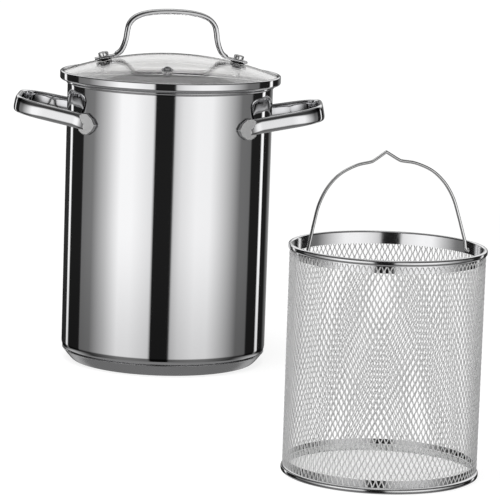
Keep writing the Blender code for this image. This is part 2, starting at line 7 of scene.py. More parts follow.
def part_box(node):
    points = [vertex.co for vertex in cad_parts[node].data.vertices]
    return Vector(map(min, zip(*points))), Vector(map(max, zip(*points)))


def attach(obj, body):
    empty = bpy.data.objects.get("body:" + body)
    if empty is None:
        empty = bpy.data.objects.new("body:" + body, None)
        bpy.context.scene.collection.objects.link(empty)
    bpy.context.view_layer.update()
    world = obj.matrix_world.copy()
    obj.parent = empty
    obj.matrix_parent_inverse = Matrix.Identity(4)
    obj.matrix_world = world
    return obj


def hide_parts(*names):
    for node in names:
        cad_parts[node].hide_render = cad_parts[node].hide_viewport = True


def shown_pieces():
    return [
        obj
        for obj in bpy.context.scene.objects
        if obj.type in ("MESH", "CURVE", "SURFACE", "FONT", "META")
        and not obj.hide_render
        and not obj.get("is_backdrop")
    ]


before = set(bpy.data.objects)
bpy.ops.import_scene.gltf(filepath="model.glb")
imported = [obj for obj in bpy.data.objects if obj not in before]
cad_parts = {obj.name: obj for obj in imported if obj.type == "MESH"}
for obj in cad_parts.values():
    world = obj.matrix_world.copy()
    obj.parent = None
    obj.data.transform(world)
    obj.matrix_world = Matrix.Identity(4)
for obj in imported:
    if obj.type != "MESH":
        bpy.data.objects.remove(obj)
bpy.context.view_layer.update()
weld = 0.000002       # points closer than this are one point
speck = 0.001         # size of the plane that a drawn line starts from
print("frame loaded,", len(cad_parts), "nodes")


# Tools that the pieces share

def nothingSelected():
    bpy.ops.object.select_all(action="DESELECT")


def onlySelected(piece):
    nothingSelected()
    piece.select_set(True)
    bpy.context.view_layer.objects.active = piece


def added(operator, name, **settings):
    # a new object from one of Blender's add operators, with nothing else selected
    nothingSelected()
    operator(**settings)
    bpy.context.object.name = name
    return bpy.context.object


def setInPlace(piece):
    onlySelected(piece)
    bpy.ops.object.transform_apply(location=True, rotation=True, scale=True)


def putAt(piece, place):
    piece.matrix_world = place
    setInPlace(piece)
    return piece


def selectAll():
    bpy.ops.mesh.select_all(action="SELECT")


def editAll():
    bpy.ops.object.mode_set(mode="EDIT")
    selectAll()


def editDone():
    bpy.ops.object.mode_set(mode="OBJECT")


def editChosen(piece, kind, chosen):
    # leaves the piece in edit mode, with only the chosen points or faces selected
    onlySelected(piece)
    bpy.ops.object.mode_set(mode="EDIT")
    bpy.ops.mesh.select_mode(type=kind)
    bpy.ops.mesh.select_all(action="DESELECT")
    editDone()
    for part in piece.data.polygons if kind == "FACE" else piece.data.vertices:
        part.select = chosen(part)
    bpy.ops.object.mode_set(mode="EDIT")


def closeSeams(piece):
    onlySelected(piece)
    editAll()
    bpy.ops.mesh.remove_doubles(threshold=weld)
    bpy.ops.mesh.normals_make_consistent(inside=False)
    editDone()


def turned(degrees, axis):
    return Matrix.Rotation(math.radians(degrees), 4, axis)


def smoothed(piece, degrees=40):
    onlySelected(piece)
    bpy.ops.object.shade_smooth_by_angle(angle=math.radians(degrees))


def drawnLine(name, points, closed=False):
    # one point pulled out along the route, as when an outline is drawn by hand
    line = added(bpy.ops.mesh.primitive_plane_add, name, size=speck, location=points[0])
    editAll()
    bpy.ops.mesh.merge(type="CENTER")
    route = list(points) + ([points[0]] if closed else [])
    for here, there in zip(route, route[1:]):
        move = [b - a for a, b in zip(here, there)]
        bpy.ops.mesh.extrude_vertices_move(TRANSFORM_OT_translate={"value": move})
    selectAll()
    bpy.ops.mesh.remove_doubles(threshold=weld)
    editDone()
    setInPlace(line)
    return line


def spunPiece(name, outline, steps=240, middle=(0, 0), closed=False):
    # an outline of (distance from the axis, height) turned once round the axis
    points = [(middle[0] + r, middle[1], z) for r, z in outline]
    piece = drawnLine(name, points, closed)
    editAll()
    bpy.ops.mesh.spin(steps=steps, angle=2 * math.pi, center=(middle[0], middle[1], 0), axis=(0, 0, 1))
    editDone()
    closeSeams(piece)
    return piece


def arcOf(centre, radius, start, end, steps):
    # points round a centre, from one angle in degrees to another
    turns = [math.radians(start + (end - start) * i / steps) for i in range(steps + 1)]
    return [(centre[0] + radius * math.cos(a), centre[1] + radius * math.sin(a)) for a in turns]


def bendOf(start, corner, end, steps):
    # the curve that leaves start and reaches end along lines through corner
    shares = [i / steps for i in range(1, steps + 1)]
    return [tuple((1 - t) ** 2 * a + 2 * t * (1 - t) * b + t * t * c
                  for a, b, c in zip(start, corner, end)) for t in shares]


def roundedRoute(corners, radii, steps):
    route = [corners[0]]
    for before, corner, after, radius in zip(corners, corners[1:], corners[2:], radii):
        here = Vector(corner)
        first = here + (Vector(before) - here).normalized() * radius
        last = here + (Vector(after) - here).normalized() * radius
        route.append(tuple(first))
        route.extend(bendOf(first, here, last, steps))
    route.append(corners[-1])
    return route


def softCorners(corners, steps, margin=0.15):
    # (x, y, radius) corners made round, with a close point beside each round to keep flats flat
    made = []
    count = len(corners)
    for i, (x, y, radius) in enumerate(corners):
        if radius == 0:
            made.append((x, y))
            continue
        here = Vector((x, y))
        back = (Vector(corners[i - 1][:2]) - here).normalized()
        onward = (Vector(corners[(i + 1) % count][:2]) - here).normalized()
        half = back.angle(onward) / 2
        run = radius / math.tan(half)
        centre = here + (back + onward).normalized() * (radius / math.sin(half))
        first = here + back * run - centre
        last = here + onward * run - centre
        swing = first.angle(last)
        made.append(tuple(here + back * run * (1 + margin)))
        for k in range(steps + 1):
            t = k / steps
            turn = (first * math.sin((1 - t) * swing) + last * math.sin(t * swing)) / math.sin(swing)
            made.append(tuple(centre + turn))
        made.append(tuple(here + onward * run * (1 + margin)))
    return made


def flowThrough(points, steps):
    # a smooth route through points, with so many steps between each two of them
    made = []
    last = len(points) - 1
    for i in range(last):
        p0, p1 = Vector(points[max(i - 1, 0)]), Vector(points[i])
        p2, p3 = Vector(points[i + 1]), Vector(points[min(i + 2, last)])
        for k in range(steps):
            t = k / steps
            made.append(tuple(0.5 * (2 * p1 + (p2 - p0) * t + (2 * p0 - 5 * p1 + 4 * p2 - p3) * t ** 2
                                     + (3 * p1 - p0 - 3 * p2 + p3) * t ** 3)))
    made.append(tuple(points[last]))
    return made


def bothHalves(half):
    # a route's first half with its mirror image added, up to the point where it began
    return half + [(-x, y) for x, y in reversed(half[:-1])]


def asCurve(line):
    onlySelected(line)
    bpy.ops.object.convert(target="CURVE")
    return bpy.context.object


def asMesh(curve, name, place):
    curve.data.dimensions = "3D"
    curve.data.use_fill_caps = True
    onlySelected(curve)
    bpy.ops.object.convert(target="MESH")
    made = bpy.context.object
    made.name = name
    return putAt(made, place)


def barAlong(name, route, section, place):
    # a flat bar: a drawn section carried along a drawn route in the route's own plane
    path = asCurve(drawnLine(name, [(x, y, 0) for x, y in route]))
    shape = asCurve(drawnLine(name + "Section", [(x, y, 0) for x, y in section], closed=True))
    path.data.twist_mode = "Z_UP"
    path.data.bevel_mode = "OBJECT"
    path.data.bevel_object = shape
    bar = asMesh(path, name, place)
    bpy.data.objects.remove(shape)
    closeSeams(bar)
    return bar


def wireAlong(name, route, radius, place):
    # a round wire along a drawn route in the route's own plane
    path = asCurve(drawnLine(name, [(x, y, 0) for x, y in route]))
    path.data.bevel_depth = radius
    path.data.bevel_resolution = 4
    wire = asMesh(path, name, place)
    closeSeams(wire)
    return wire


def bulge(share, fullness):
    return math.copysign(abs(share) ** (2 / fullness), share)


def crownedSection(thickness, width, fullness, count=48):
    # a flat bar's section with faces that bulge: 2 is an ellipse, more is squarer
    turns = [2 * math.pi * i / count for i in range(count)]
    return [(bulge(math.cos(a), fullness) * thickness / 2, bulge(math.sin(a), fullness) * width / 2)
            for a in turns]


def applied(piece, modifier):
    onlySelected(piece)
    bpy.ops.object.modifier_apply(modifier=modifier.name)


def flatsKept(piece):
    # large faces keep their own normals, so that flats don't mirror like pillows
    applied(piece, piece.modifiers.new("flats", "WEIGHTED_NORMAL"))


def cutOrJoined(piece, other, how, solver="EXACT"):
    change = piece.modifiers.new(how.lower(), "BOOLEAN")
    change.operation = how
    change.solver = solver
    change.object = other
    applied(piece, change)
    bpy.data.objects.remove(other)


def rod(radius, low, high, place, sides=48):
    made = added(bpy.ops.mesh.primitive_cylinder_add, "rod", vertices=sides, radius=radius,
                 depth=high - low, location=(0, 0, (low + high) / 2))
    setInPlace(made)
    return putAt(made, place)


def dressed(piece, finish, body, slot, *nodes):
    # the finish, the body that it rides on and the CAD nodes that it stands for
    piece.data.materials.clear()
    piece.data.materials.append(materials[finish])
    if nodes:
        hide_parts(*nodes)
    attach(piece, body)


def secondFinish(piece, finish, chosen):
    # another finish on the faces for which chosen says yes
    piece.data.materials.append(materials[finish])
    editChosen(piece, "FACE", chosen)
    piece.active_material_index = 1
    bpy.ops.object.material_slot_assign()
    bpy.ops.mesh.select_mode(type="VERT")
    editDone()


# Camera

camera = {
    "place": (0.0669, -2.3659, 0.462),
    "down": 8.947,            # degrees below the horizon
    "roll": 1.927,            # the whole picture is turned this much
    "lens": 217.4,
}

bpy.ops.object.camera_add(location=camera["place"])
eye = bpy.context.object
eye.rotation_mode = "ZYX"
eye.rotation_euler = (math.radians(90 - camera["down"]), 0, math.radians(camera["roll"]))
eye.data.lens = camera["lens"]
eye.data.sensor_width = 36
eye.data.clip_start = 0.01
eye.data.clip_end = 50
bpy.context.scene.camera = eye
bpy.context.scene.view_settings.view_transform = "Standard"
print("camera set")


# Nodes for the materials

def addNode(tree, kind, x, y, **values):
    # a shader node, with its values given by the names of its sockets or settings
    node = tree.nodes.new("ShaderNode" + kind)
    node.location = (x, y)
    for key, value in values.items():
        if key in node.inputs:
            node.inputs[key].default_value = value
        else:
            setattr(node, key, value)
    return node


def mathNode(tree, x, y, operation, *given):
    # given are plain numbers or the outputs of other nodes
    node = addNode(tree, "Math", x, y, operation=operation)
    for socket, value in zip(node.inputs, given):
        if isinstance(value, (int, float)):
            socket.default_value = value
        else:
            tree.links.new(value, socket)
    return node.outputs[0]


def rangeNode(tree, x, y, value, limits, kind="LINEAR"):
    # limits are from this, from that, to this, to that; the last two are 0 and 1 when left out
    node = addNode(tree, "MapRange", x, y, interpolation_type=kind)
    tree.links.new(value, node.inputs["Value"])
    for label, limit in zip(("From Min", "From Max", "To Min", "To Max"), limits):
        node.inputs[label].default_value = limit
    return node.outputs["Result"]


def colouredShader(tree, colour, **values):
    shader = addNode(tree, "BsdfPrincipled", 400, 0, **values)
    shader.inputs["Base Color"].default_value = (*colour, 1)
    return shader


def groupNode(tree, group, x, y, values):
    node = addNode(tree, "Group", x, y, node_tree=group)
    for socket, value in zip(node.inputs, values):
        socket.default_value = value
    return node


def setStops(ramp, stops):
    bar = ramp.color_ramp
    while len(bar.elements) < len(stops):
        bar.elements.new(0.5)
    for element, (position, bright) in zip(bar.elements, stops):
        element.position = position
        element.color = (bright, bright, bright, 1)


def newMaterial(name, outputPlace=700):
    # a material with only its output, whose Surface socket is handed back last
    made = bpy.data.materials.new(name)
    made.use_nodes = True
    tree = made.node_tree
    tree.nodes.clear()
    return made, tree, tree.links.new, addNode(tree, "OutputMaterial", outputPlace, 0).inputs["Surface"]


def groupShell(name, wanted, given):
    tree = bpy.data.node_groups.new(name, "ShaderNodeTree")
    for label, value in wanted.items():
        socket = tree.interface.new_socket(name=label, in_out="INPUT", socket_type="NodeSocketFloat")
        socket.default_value = value
    for label in given:
        tree.interface.new_socket(name=label, in_out="OUTPUT", socket_type="NodeSocketFloat")
    inside, outside = tree.nodes.new("NodeGroupInput"), tree.nodes.new("NodeGroupOutput")
    inside.location, outside.location = (-1000, 0), (600, 0)
    return tree, tree.links.new, inside.outputs, outside.inputs


def makeHandlingMarks():
    # faint smears from hands and cloths, and the fine hairlines of use
    wanted = {"Smear Size": 30, "Hairline Size": 900, "Smear": 0.5, "Hairline": 0.3, "Base": 0.04}
    tree, link, given, results = groupShell("handlingMarks", wanted, ("Roughness", "Height"))
    place = addNode(tree, "TexCoord", -1200, -300).outputs["Object"]
    smear = addNode(tree, "TexNoise", -760, 120, Detail=4, Roughness=0.55, Distortion=0.6)
    stretch = addNode(tree, "Mapping", -1000, -300, Rotation=(0.5, 0.35, 0.9), Scale=(1, 0.06, 0.6))
    hairline = addNode(tree, "TexNoise", -760, -260, Detail=2, Roughness=0.5)
    link(place, smear.inputs["Vector"])
    link(place, stretch.inputs["Vector"])
    link(stretch.outputs["Vector"], hairline.inputs["Vector"])
    link(given["Smear Size"], smear.inputs["Scale"])
    link(given["Hairline Size"], hairline.inputs["Scale"])
    softly = rangeNode(tree, -520, 120, smear.outputs["Fac"], (0.42, 0.72))
    thin = rangeNode(tree, -520, -260, hairline.outputs["Fac"], (0.6, 0.75))
    smearPart = mathNode(tree, -300, 120, "MULTIPLY", softly, given["Smear"])
    hairPart = mathNode(tree, -300, -120, "MULTIPLY", thin, given["Hairline"])
    both = mathNode(tree, -100, 60, "ADD", smearPart, hairPart)
    link(mathNode(tree, 120, 60, "MULTIPLY_ADD", both, given["Base"], given["Base"]), results["Roughness"])
    link(hairPart, results["Height"])
    return tree


def makeTurnedLines():
    # the fine rings that a lathe or a polishing wheel leaves round an upright axis
    tree, link, given, results = groupShell("turnedLines", {"Line Size": 2200, "Contrast": 1}, ("Line",))
    place = addNode(tree, "TexCoord", -1200, -200)
    parts = addNode(tree, "SeparateXYZ", -1000, -200)
    flat = addNode(tree, "CombineXYZ", -800, -60)
    far = addNode(tree, "VectorMath", -620, -60, operation="LENGTH")
    ring = addNode(tree, "CombineXYZ", -440, -120)
    noise = addNode(tree, "TexNoise", -240, -60, Detail=3, Roughness=0.6)
    link(place.outputs["Object"], parts.inputs["Vector"])
    link(parts.outputs["X"], flat.inputs["X"])
    link(parts.outputs["Y"], flat.inputs["Y"])
    link(flat.outputs["Vector"], far.inputs[0])
    link(far.outputs["Value"], ring.inputs["X"])
    link(parts.outputs["Z"], ring.inputs["Z"])
    link(ring.outputs["Vector"], noise.inputs["Vector"])
    link(given["Line Size"], noise.inputs["Scale"])
    clear = rangeNode(tree, 0, -60, noise.outputs["Fac"], (0.3, 0.7))
    link(mathNode(tree, 240, -60, "MULTIPLY", clear, given["Contrast"]), results["Line"])
    return tree


handlingMarks = makeHandlingMarks()
turnedLines = makeTurnedLines()


def metalFinish(name, look):
    made, tree, link, surface = newMaterial(name)
    shader = colouredShader(tree, look["colour"], Metallic=look.get("metallic", 1))
    marks = groupNode(tree, handlingMarks, -500, 0, look["marks"])
    lines = groupNode(tree, turnedLines, -500, -300, look.get("lines", (500, 0)))
    relief = mathNode(tree, -200, -200, "ADD", marks.outputs["Height"], lines.outputs["Line"])
    bump = addNode(tree, "Bump", 100, -200, Strength=look.get("bump", 0.05),
                   Distance=look.get("depth", 0.00001))
    link(marks.outputs["Roughness"], shader.inputs["Roughness"])
    link(relief, bump.inputs["Height"])
    link(bump.outputs["Normal"], shader.inputs["Normal"])
    link(shader.outputs[0], surface)
    return made


# marks are smear size, hairline size, smear, hairline and plain roughness; lines are their size and contrast
finishes = {
    "mirrorSteel": {"colour": (0.86, 0.86, 0.87), "marks": (26, 900, 0.6, 0.5, 0.035), "lines": (1500, 0.5)},
    "handleSteel": {"colour": (0.86, 0.86, 0.87), "marks": (60, 1400, 0.8, 0.5, 0.06)},
    "padSteel": {"colour": (0.95, 0.95, 0.95), "metallic": 0.6, "marks": (90, 1800, 0.3, 0.6, 0.42),
                 "bump": 0.1, "depth": 0.00002},
    "baseSteel": {"colour": (0.62, 0.62, 0.63), "marks": (40, 900, 0.5, 0.5, 0.2), "lines": (1800, 1),
                  "bump": 0.25, "depth": 0.00003},
    "hoopSteel": {"colour": (0.88, 0.88, 0.89), "marks": (40, 900, 0.5, 0.5, 0.11)},
    "insideSteel": {"colour": (0.92, 0.92, 0.93), "metallic": 0.92, "marks": (40, 1500, 0.3, 0.6, 0.32),
                    "bump": 0.1, "depth": 0.00002},
    # a darker copy of the handle steel: its colour holds painted shade, so the small polished eyelet looks
    # dark
    "ventSteelPaintedShade": {"colour": (0.58, 0.58, 0.59), "marks": (60, 1400, 0.8, 0.5, 0.06)},
    "softSteel": {"colour": (0.95, 0.95, 0.95), "metallic": 0.95, "marks": (120, 1500, 0.4, 0.5, 0.05)},
    "wireSteel": {"colour": (0.95, 0.95, 0.95), "metallic": 0.42, "marks": (120, 1500, 0.4, 0.6, 0.28),
                  "bump": 0.1, "depth": 0.00002},
    "coreAluminium": {"colour": (0.75, 0.75, 0.76), "marks": (60, 900, 0.5, 0.4, 0.4), "lines": (1200, 1),
                      "bump": 0.4, "depth": 0.00005},
}


def makeGlass():
    look = {"tint": (0.92, 0.915, 0.91), "bending": 1.5, "marks": (18, 900, 0.03, 0, 0.004)}
    made, tree, link, surface = newMaterial("lidGlass")
    shader = colouredShader(tree, look["tint"], IOR=look["bending"])
    shader.inputs["Transmission Weight"].default_value = 1
    marks = groupNode(tree, handlingMarks, 0, 0, look["marks"])
    link(marks.outputs["Roughness"], shader.inputs["Roughness"])
    link(shader.outputs[0], surface)
    return made


def makeSilicone():
    look = {"colour": (0.02, 0.02, 0.021), "grain": 1800, "rough": (0.4, 0.62), "bump": 0.4, "depth": 0.00004}
    made, tree, link, surface = newMaterial("blackSilicone")
    shader = colouredShader(tree, look["colour"])
    place = addNode(tree, "TexCoord", -600, 0)
    grain = addNode(tree, "TexNoise", -400, 0, Scale=look["grain"], Detail=3)
    bump = addNode(tree, "Bump", 100, -200, Strength=look["bump"], Distance=look["depth"])
    link(place.outputs["Object"], grain.inputs["Vector"])
    link(rangeNode(tree, -150, 150, grain.outputs["Fac"], (0, 1, *look["rough"])), shader.inputs["Roughness"])
    link(grain.outputs["Fac"], bump.inputs["Height"])
    link(bump.outputs["Normal"], shader.inputs["Normal"])
    link(shader.outputs[0], surface)
    return made


materials = {name: metalFinish(name, look) for name, look in finishes.items()}
materials["clearGlass"] = makeGlass()
materials["blackSilicone"] = makeSilicone()
print("materials made")


# Studio: a pale floor, a light tent that only polished metal and glass see, and one soft lamp overhead

studio = {
    "tentRadius": 4.0,
    "tentHeight": 6.0,
    "darkMiddle": -3.0,        # degrees round from the front, towards the right
    "darkHalf": 10.8,
    "panelEnd": 107.0,
    "leftStrip": -138.0,
    "rightStrip": 131.0,
    "stripHalf": 2.6,
    "panel": 1.08,
    "panelEdge": 0.17,
    "dark": 0.014,
    "strip": 1.1,
    "rear": 0.30,
    "rearEdge": 157.0,
    # how the tent's light changes with height: from low to high, and its share at each
    "fadeDown": (-0.80, -0.46, 0.70, 1),       # the panels fade towards the table
    "tableEdge": (-1.0, -0.76, 0.22, 1),       # whose near part is darker still
    "fadeUp": (0.35, 0.9, 1, 0.05),            # and stop a little above the pot
    "backdrop": (0.5, 0.95, 0, 0.9),           # the white backdrop shows above the table's far edge
    "rearTable": (-1.9, -1.2, 0.5, 0),         # the lit table top, for views from behind
    "backdropFrom": (2.6, 3.6),                # where these two begin, towards the back
    "rearTableFrom": (-0.6, 3.8),
    "floorSize": 40.0,
    "floorBelow": 0.0002,
    "floorGlow": (0.5, 2.5, 0.85, 1.0),        # near and far distance, and the glow at each
    "floorColour": 0.30,
    # (height, brightness); a small bright opening straight above gives the thin highlights along edges
    "room": ((-1.0, 0.24), (-0.6, 0.20), (0.0, 0.10), (0.5, 0.08), (0.9, 0.22), (0.97, 0.22),
             (0.985, 0.9), (1.0, 0.9)),
    "lampPlace": (-0.3, -0.5, 1.8),
    "lampSize": 1.6,
    "lampPower": 26,
}


def tentStops():
    # (degrees, brightness) all the way round, at the height where the upright walls mirror it
    s = studio
    dark, strip, panel, edge = s["dark"], s["strip"], s["panel"], s["panelEdge"]
    a, b = s["darkMiddle"] - s["darkHalf"], s["darkMiddle"] + s["darkHalf"]

    def stripStops(middle, before):
        low, high = middle - s["stripHalf"], middle + s["stripHalf"]
        return [(low - 1, before), (low, strip), (high, strip), (high + 1, dark)]

    stops = [(-180, dark * 2), (-176, dark * 2)] + stripStops(s["leftStrip"], dark * 2)
    stops += [(-s["panelEnd"] - 1.5, dark), (-s["panelEnd"], edge), (-90, edge * 1.2)]
    stops += [(-70, 0.56 * panel), (-52, panel), (-38, panel), (-16, 0.80 * panel)]
    stops += [(a - 1, 0.74 * panel), (a + 1, dark), (b - 1, dark), (b + 1, 0.60 * panel)]
    stops += [(17, 0.78 * panel), (34, 0.94 * panel), (50, 0.93 * panel), (70, 0.54 * panel)]
    stops += [(90, edge), (s["panelEnd"] - 1, edge * 0.9), (s["panelEnd"] + 0.5, dark)]
    stops += stripStops(s["rightStrip"], dark)
    return stops + [(s["rearEdge"] - 8, dark), (s["rearEdge"] + 10, s["rear"]), (180, s["rear"])]


def makeTent():
    s = studio
    tent = added(bpy.ops.mesh.primitive_cylinder_add, "lightTent", vertices=128, radius=s["tentRadius"],
                 depth=s["tentHeight"], end_fill_type="NOTHING", location=(0, 0, 0))
    editAll()
    bpy.ops.mesh.flip_normals()
    editDone()
    made, tree, link, surface = newMaterial("tentCloth", 1400)
    glow = addNode(tree, "Emission", 1200, 0)
    place = addNode(tree, "TexCoord", -1200, 0)
    parts = addNode(tree, "SeparateXYZ", -1000, 0)
    link(place.outputs["Object"], parts.inputs["Vector"])
    right, back, height = parts.outputs
    front = mathNode(tree, -800, -100, "MULTIPLY", back, -1)
    around = mathNode(tree, -600, 0, "ARCTAN2", right, front)
    ramp = addNode(tree, "ValToRGB", -200, 0)
    link(rangeNode(tree, -400, 0, around, (-math.pi, math.pi)), ramp.inputs["Fac"])
    setStops(ramp, [((degrees + 180) / 360, bright) for degrees, bright in tentStops()])

    def share(value, name, y):
        return rangeNode(tree, 100, y, value, s[name], "SMOOTHSTEP")

    def product(x, y, one, other):
        return mathNode(tree, x, y, "MULTIPLY", one, other)

    lower = product(300, -250, share(height, "fadeDown", -200), share(height, "tableEdge", -300))
    panels = product(400, -100, ramp.outputs["Color"], lower)
    panels = product(600, -100, panels, share(height, "fadeUp", -400))
    backdrop = product(600, -500, share(height, "backdrop", -600), share(back, "backdropFrom", -800))
    table = product(600, -800, share(height, "rearTable", -1000), share(back, "rearTableFrom", -1200))
    upper = mathNode(tree, 800, -200, "MAXIMUM", panels, backdrop)
    link(mathNode(tree, 1000, -200, "MAXIMUM", upper, table), glow.inputs["Strength"])
    link(glow.outputs[0], surface)
    tent.data.materials.append(made)
    tent.visible_camera = False
    tent.visible_diffuse = False
    tent.visible_transmission = False
    tent.visible_shadow = False
    tent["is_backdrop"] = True


def makeFloor():
    s = studio
    floor = added(bpy.ops.mesh.primitive_plane_add, "paleFloor", size=s["floorSize"],
                  location=(0, 0, -s["floorBelow"]))
    made, tree, link, surface = newMaterial("paleTable")
    both = addNode(tree, "AddShader", 400, 0)
    matt = addNode(tree, "BsdfDiffuse", 150, 100, Color=(*[s["floorColour"]] * 3, 1))
    glow = addNode(tree, "Emission", 150, -100)
    place = addNode(tree, "TexCoord", -500, -100)
    far = addNode(tree, "VectorMath", -300, -100, operation="LENGTH")
    link(place.outputs["Object"], far.inputs[0])
    link(rangeNode(tree, -100, -100, far.outputs["Value"], s["floorGlow"]), glow.inputs["Strength"])
    link(matt.outputs[0], both.inputs[0])
    link(glow.outputs[0], both.inputs[1])
    link(both.outputs[0], surface)
    floor.data.materials.append(made)
    floor.visible_glossy = False
    floor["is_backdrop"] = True


def makeWorld():
    world = bpy.data.worlds.new("studioRoom")
    bpy.context.scene.world = world
    world.use_nodes = True
    tree = world.node_tree
    tree.nodes.clear()
    link = tree.links.new
    out = addNode(tree, "OutputWorld", 800, 0)
    pick = addNode(tree, "MixShader", 600, 0)
    white = addNode(tree, "Background", 300, -150, Strength=1, Color=(1, 1, 1, 1))
    dim = addNode(tree, "Background", 300, 100, Strength=1)
    rays = addNode(tree, "LightPath", 0, 500).outputs
    place = addNode(tree, "TexCoord", -600, 100)
    parts = addNode(tree, "SeparateXYZ", -400, 100)
    ramp = addNode(tree, "ValToRGB", 0, 100)
    setStops(ramp, [((height + 1) / 2, bright) for height, bright in studio["room"]])
    link(place.outputs["Generated"], parts.inputs["Vector"])
    link(rangeNode(tree, -200, 100, parts.outputs["Z"], (-1, 1)), ramp.inputs["Fac"])
    link(ramp.outputs["Color"], dim.inputs["Color"])
    seen = mathNode(tree, 250, 400, "MAXIMUM", rays["Is Camera Ray"], rays["Is Transmission Ray"])
    link(seen, pick.inputs[0])
    link(dim.outputs[0], pick.inputs[1])
    link(white.outputs[0], pick.inputs[2])
    link(pick.outputs[0], out.inputs["Surface"])


def makeLamp():
    place = Vector(studio["lampPlace"])
    light = added(bpy.ops.object.light_add, "softLamp", type="AREA", location=place)
    light.data.size = studio["lampSize"]
    light.data.energy = studio["lampPower"]
    light.rotation_euler = (-place).to_track_quat("-Z", "Y").to_euler()
    light.visible_glossy = False


makeTent()
makeFloor()
makeWorld()
makeLamp()
print("studio ready")


# Pot

potLow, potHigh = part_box("pot_body")
pot = {
    "innerRadius": 0.080,
    "wall": 0.0008,
    "baseRound": 0.0085,
    "rimBead": 0.0026,
    "beadTurn": (125, -90),     # degrees where the rim's bead starts and ends
    "support": 0.0008,          # how far beside a round its support points lie
    "beadSupport": (0.4, 1.4),  # shares of that, under the bead
    "insideSlope": 0.5,         # a face that looks up or inwards more than this is inside
    "flatRadius": 0.0719,
    "capWall": 0.0006,
    "lipAngle": 37.0,
    "lipBead": 0.00042,
    "lipTurn": (-45, 226, 30),  # first, last and step in degrees round the lip's bead
    "gap": 0.0003,
}
pot["outerRadius"] = pot["innerRadius"] + pot["wall"]
pot["roundMiddle"] = (pot["outerRadius"] - pot["baseRound"], potLow.z + pot["baseRound"])


def makePotShell():
    p = pot
    inner, outer, middle, keep = p["innerRadius"], p["outerRadius"], p["roundMiddle"], p["support"]
    half = p["rimBead"] / 2
    beadMiddle = (potHigh.x - half, potHigh.z - half)
    beadLow = beadMiddle[1] - half
    outline = [(0, potLow.z + p["wall"]), (middle[0] - keep, potLow.z + p["wall"])]
    outline += arcOf(middle, p["baseRound"] - p["wall"], -90, 0, steps=14)
    outline += [(inner, middle[1] + keep), (inner, beadLow - keep), (inner, beadMiddle[1])]
    outline += arcOf(beadMiddle, half, *p["beadTurn"], steps=18)
    outline += [(outer, beadLow - share * keep) for share in p["beadSupport"]]
    outline += [(outer, middle[1] + keep)]
    outline += arcOf(middle, p["baseRound"], 0, -90, steps=16)
    outline += [(middle[0] - keep, potLow.z), (0, potLow.z)]
    shell = spunPiece("potShell", outline)
    smoothed(shell)
    dressed(shell, "mirrorSteel", "pot", "polished_steel", "pot_body")

    def insideFace(face):
        out = Vector((face.center.x, face.center.y, 0)).normalized()
        return face.normal.z - face.normal.dot(out) > p["insideSlope"] and face.center.z < beadLow

    secondFinish(shell, "insideSteel", insideFace)


def makeBaseCap():
    p = pot
    middle, wall, flat = p["roundMiddle"], p["capWall"], p["flatRadius"]
    inner = p["baseRound"] + p["gap"]
    angle = math.radians(p["lipAngle"])

    def sideOf(radius, bottom, flat):
        start = (middle[0] + radius * math.cos(angle), middle[1] - radius * math.sin(angle))
        reach = (start[1] - bottom) / math.cos(angle)
        corner = (start[0] - reach * math.sin(angle), bottom)
        return [start] + bendOf(start, corner, (flat, bottom), steps=12)

    inside = sideOf(inner, wall, flat - wall / 2)
    outside = sideOf(inner + wall, 0, flat)
    lip = Vector(inside[0]).lerp(Vector(outside[0]), 0.5)
    along = (Vector(outside[0]) - Vector(outside[1])).normalized()
    inwards = (Vector(inside[0]) - Vector(outside[0])).normalized()
    bead = []
    for degrees in range(*p["lipTurn"]):
        a = math.radians(degrees)
        turn = inwards * math.cos(a) + along * math.sin(a)
        bead.append(tuple(lip + along * wall / 2 + turn * p["lipBead"]))
    outline = [(0, wall)] + inside[:0:-1] + bead + outside[1:] + [(0, 0)]
    cap = spunPiece("baseCapShell", outline)
    smoothed(cap, degrees=50)
    dressed(cap, "baseSteel", "pot", "base_steel", "base_cap")


makePotShell()
makeBaseCap()
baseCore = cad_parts["base_core"]
baseCore.data.materials.clear()
baseCore.data.materials.append(materials["coreAluminium"])
print("pot modelled")


# Side handles

sideHandle = {
    "width": 0.0122,
    "thickness": 0.0044,
    "fullness": 3.2,
    "belowRim": 0.0260,
    "tilt": 10.8,             # degrees that the loop rises outwards
    "reach": 0.0405,
    "endHalf": 0.0365,
    "loopCorner": 0.024,
    "bend": 0.006,
    "tailPart": 3,            # the strap runs into a third of the pad
    "padAngle": 41.2,
    "padLength": 0.0206,
    "padHeight": 0.0168,
    "padThickness": 0.0027,
    "padBevel": 0.0007,
    "padStep": 0.0001,        # the strap's outer face lies this far under the pad's
    "padShares": ((0.0, 0.74), (0.06, 0.79), (0.14, 0.89), (0.24, 0.97), (0.34, 1.0), (0.50, 1.0),
                  (0.56, 0.965), (0.76, 0.69), (0.82, 0.60), (0.97, 0.09), (1.0, 0.0)),
    "satinSquare": 0.9999,    # a satin face looks this squarely outwards
    "satinNear": 0.00005,     # and lies this near to the pad's outer face
}
sideHandle["height"] = potHigh.z - sideHandle["belowRim"]


def padPlate(name, place, outline, thickness, bevel):
    # the flattened end: an outline filled, thickened and bevelled
    plate = drawnLine(name, [(x, y, -thickness / 2) for x, y in outline], closed=True)
    editAll()
    bpy.ops.mesh.edge_face_add()
    bpy.ops.mesh.extrude_region_move(TRANSFORM_OT_translate={"value": (0, 0, thickness)})
    selectAll()
    bpy.ops.mesh.normals_make_consistent(inside=False)
    bpy.ops.mesh.bevel(offset=bevel, segments=3, affect="EDGES")
    editDone()
    return putAt(plate, place)


